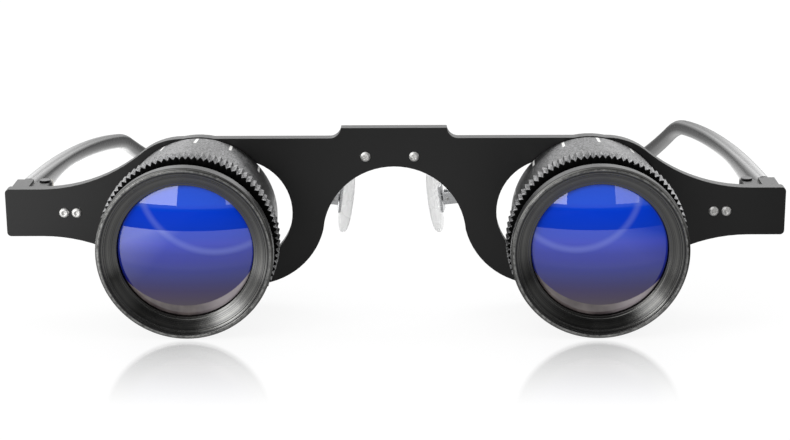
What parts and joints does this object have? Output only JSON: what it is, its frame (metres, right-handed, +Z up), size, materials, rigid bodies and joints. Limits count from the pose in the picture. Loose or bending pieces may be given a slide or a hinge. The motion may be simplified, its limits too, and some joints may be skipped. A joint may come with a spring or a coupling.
{
  "type": "binocular glasses",
  "caption": "Hands-free binocular glasses: short focusing telescopes sliding in the slots of a black spectacle plate, with folding temples and rocking clear nose pads.",
  "frame": {"origin": "under the middle of the bounding box, at the height of the lowest point, the temple tips", "axes": "+X towards the wearer's left, +Y from the objectives back to the temple tips, +Z up; the telescope axes run along Y"},
  "size_m": [0.149, 0.1571, 0.0428],
  "materials": {
    "satin_black": "satin black moulded plate with lightly rounded edges",
    "black_ring": "black anodised aluminium with toothed grip and white index lines",
    "black_barrel": "black anodised aluminium, fine turning lines",
    "eyecup_black": "matt black moulded eyecup",
    "coated_lens": "polished glass with a blue-violet coating",
    "clear_lens": "polished clear glass",
    "gloss_arm": "glossy black moulded temple",
    "hinge_steel": "plain stamped hinge steel",
    "bright_screw": "bright plated small fasteners",
    "pad_wire": "bright drawn wire and stamped strip",
    "clear_pad": "soft clear silicone"
  },
  "bodies": {
    "frame": {"front_plate": "satin_black", "pad_bracket": "pad_wire", "bridge_screws": "bright_screw", "left_pad_arm": "pad_wire", "left_pad_pin": "bright_screw", "left_bracket": "satin_black", "left_rivets": "bright_screw", "left_hinge_pin": "bright_screw", "right_pad_arm": "pad_wire", "right_pad_pin": "bright_screw", "right_bracket": "satin_black", "right_rivets": "bright_screw", "right_hinge_pin": "bright_screw"},
    "left_carriage": {"left_housing": "black_barrel", "left_lock_ring": "black_barrel", "left_eyepiece": "eyecup_black", "left_eye_lens": "clear_lens"},
    "left_focus": {"left_focus_ring": "black_ring"},
    "left_objective": {"left_objective_cell": "black_barrel", "left_objective_lens": "coated_lens", "left_lens_retainer": "black_barrel"},
    "left_arm": {"left_temple": "gloss_arm", "left_hinge_leaf": "hinge_steel", "left_leaf_screws": "bright_screw"},
    "left_nose_pad": {"left_pad_insert": "pad_wire", "left_pad": "clear_pad"},
    "right_carriage": {"right_housing": "black_barrel", "right_lock_ring": "black_barrel", "right_eyepiece": "eyecup_black", "right_eye_lens": "clear_lens"},
    "right_focus": {"right_focus_ring": "black_ring"},
    "right_objective": {"right_objective_cell": "black_barrel", "right_objective_lens": "coated_lens", "right_lens_retainer": "black_barrel"},
    "right_arm": {"right_temple": "gloss_arm", "right_hinge_leaf": "hinge_steel", "right_leaf_screws": "bright_screw"},
    "right_nose_pad": {"right_pad_insert": "pad_wire", "right_pad": "clear_pad"}
  },
  "joints": [
    {"name": "left_eye_slide", "type": "slide", "parent": "frame", "child": "left_carriage", "axis": [-1, 0, 0], "range_m": [0, 0.007]},
    {"name": "left_focus_turn", "type": "hinge", "parent": "left_carriage", "child": "left_focus", "pos_m": [0.037, -0.06464, 0.0263], "axis": [0, 1, 0], "range_deg": [-180, 180]},
    {"name": "left_objective_slide", "type": "slide", "parent": "left_carriage", "child": "left_objective", "axis": [0, -1, 0], "range_m": [-0.003, 0.003]},
    {"name": "left_temple_fold", "type": "hinge", "parent": "frame", "child": "left_arm", "pos_m": [0.0683, -0.04224, 0.0263], "axis": [0, 0, 1], "range_deg": [0, 84]},
    {"name": "left_pad_rock", "type": "hinge", "parent": "frame", "child": "left_nose_pad", "pos_m": [0.0104, -0.04304, 0.0272], "axis": [0.1392, 0.9903, 0], "range_deg": [-8, 8]},
    {"name": "right_eye_slide", "type": "slide", "parent": "frame", "child": "right_carriage", "axis": [1, 0, 0], "range_m": [0, 0.007]},
    {"name": "right_focus_turn", "type": "hinge", "parent": "right_carriage", "child": "right_focus", "pos_m": [-0.037, -0.06464, 0.0263], "axis": [0, 1, 0], "range_deg": [-180, 180]},
    {"name": "right_objective_slide", "type": "slide", "parent": "right_carriage", "child": "right_objective", "axis": [0, -1, 0], "range_m": [-0.003, 0.003]},
    {"name": "right_temple_fold", "type": "hinge", "parent": "frame", "child": "right_arm", "pos_m": [-0.0683, -0.04224, 0.0263], "axis": [0, 0, -1], "range_deg": [0, 78]},
    {"name": "right_pad_rock", "type": "hinge", "parent": "frame", "child": "right_nose_pad", "pos_m": [-0.012, -0.04304, 0.0272], "axis": [-0.1392, 0.9903, 0], "range_deg": [-8, 8]}
  ],
  "couplings": [
    {"joint": "left_objective_slide", "follows": "left_focus_turn", "m_per_rad": 0.000954},
    {"joint": "right_objective_slide", "follows": "right_focus_turn", "m_per_rad": 0.000954}
  ]
}
